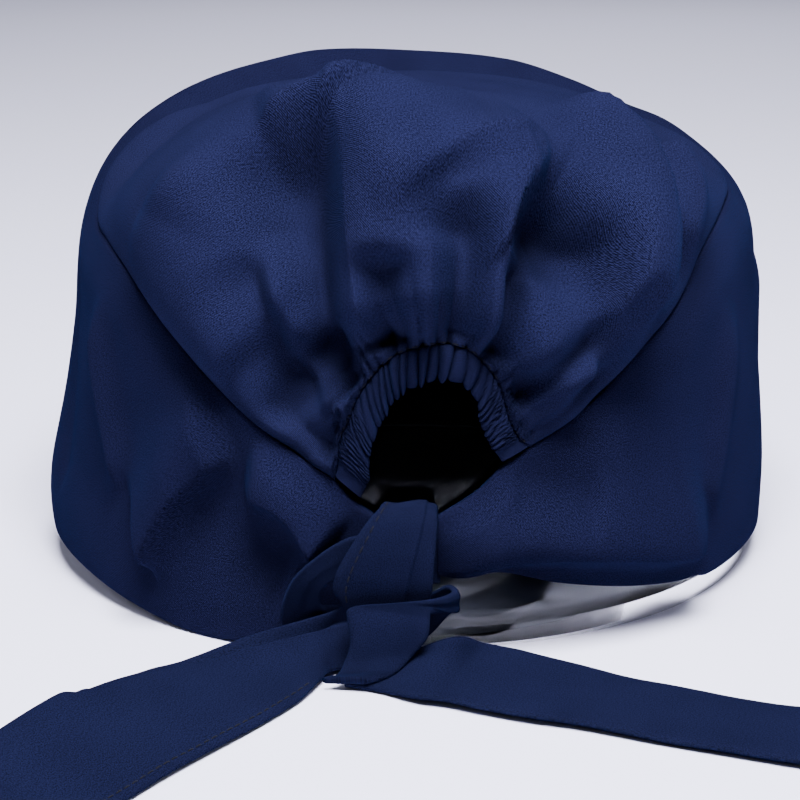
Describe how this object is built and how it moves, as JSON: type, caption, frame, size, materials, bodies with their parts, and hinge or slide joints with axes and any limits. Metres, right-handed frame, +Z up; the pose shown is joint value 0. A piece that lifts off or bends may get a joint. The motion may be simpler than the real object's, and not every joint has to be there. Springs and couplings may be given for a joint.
{
  "type": "scrub cap on clear display stand",
  "caption": "Tie-back cloth scrub cap with a gathered elastic back opening and a knotted tie, on a plain clear round display stand.",
  "frame": {"origin": "centre of the bounding box's footprint, on the surface that the stand rests on", "axes": "+Z up; -Y is the back of the cap, with the opening and the knotted ties; +X is the wearer's right"},
  "size_m": [0.264, 0.3474, 0.1454],
  "materials": {
    "navy_twill": "fine diagonal twill, matte with a soft sheen",
    "charcoal_thread": "matte sewing thread",
    "clear_plastic": "clear and glossy"
  },
  "bodies": {
    "root": {"crown": "navy_twill", "side_band": "navy_twill", "elastic_casing": "navy_twill", "tie_left": "navy_twill", "knot_strap": "navy_twill", "tie_right": "navy_twill", "clear_stand": "clear_plastic"}
  },
  "joints": []
}
